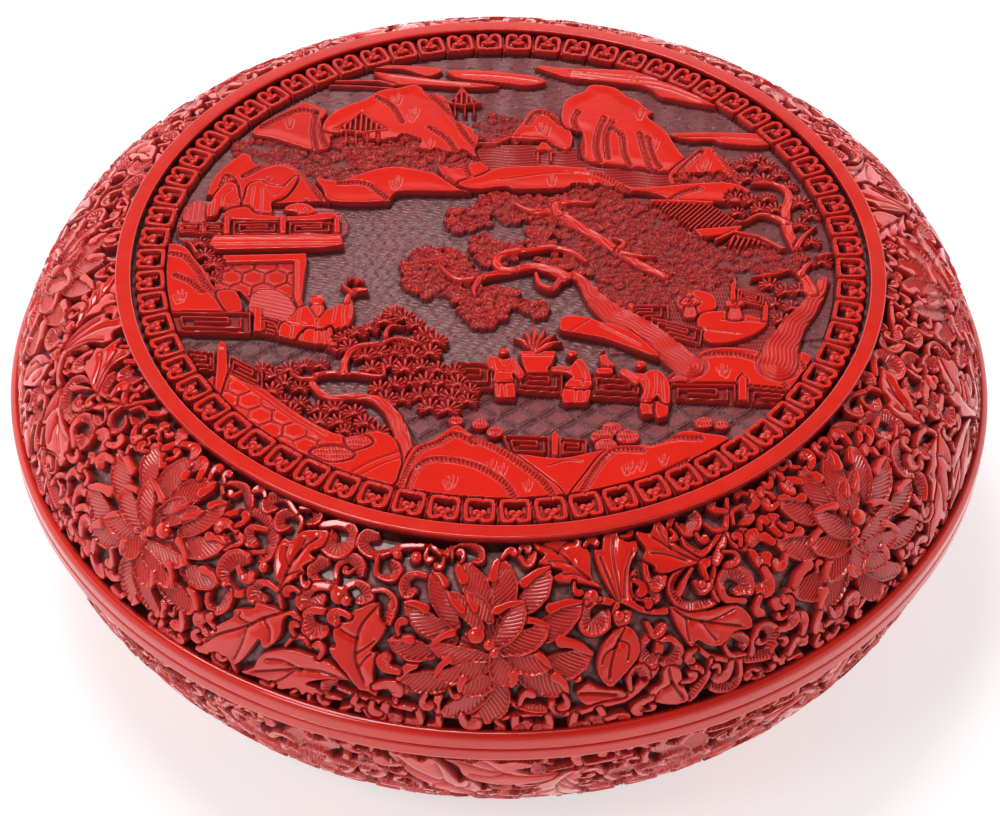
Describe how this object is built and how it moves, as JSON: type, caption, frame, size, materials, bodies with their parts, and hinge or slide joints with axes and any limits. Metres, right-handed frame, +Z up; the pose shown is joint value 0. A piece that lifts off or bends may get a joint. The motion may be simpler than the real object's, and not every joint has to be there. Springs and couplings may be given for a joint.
{
  "type": "covered lacquer box",
  "caption": "Large round covered box in carved red cinnabar lacquer, with a garden landscape on the lid, scrolling flowers round the sides, and a black lacquered inside",
  "frame": {"origin": "on the floor, under the centre of the foot ring", "axes": "+Z up along the box's axis of symmetry; -Y is the side toward the viewer, below the foreground of the lid's picture; +X is the picture's right"},
  "size_m": [0.38, 0.38, 0.1385],
  "materials": {
    "red_lacquer": "gloss",
    "black_lacquer": "gloss",
    "wood_core": "matte",
    "ash_ground": "matte"
  },
  "bodies": {
    "base": {"foot_ring": "black_lacquer", "base_underside_coat": "black_lacquer", "base_floor_board": "wood_core", "base_core_wall": "wood_core", "base_ground_layer": "ash_ground", "base_side_coat": "red_lacquer", "base_lip": "red_lacquer", "base_mouth_tongue": "black_lacquer", "base_lining": "black_lacquer"},
    "lid": {"lid_lip": "red_lacquer", "lid_core_wall": "wood_core", "lid_core_panel": "wood_core", "lid_ground_layer": "ash_ground", "lid_lining": "black_lacquer", "lid_shoulder_coat": "red_lacquer", "lid_medallion_rim": "red_lacquer", "lid_medallion_coat": "red_lacquer"}
  },
  "joints": [
    {"name": "lid_lift", "type": "slide", "parent": "base", "child": "lid", "axis": [0, 0, 1], "range_m": [0, 0.15]}
  ]
}
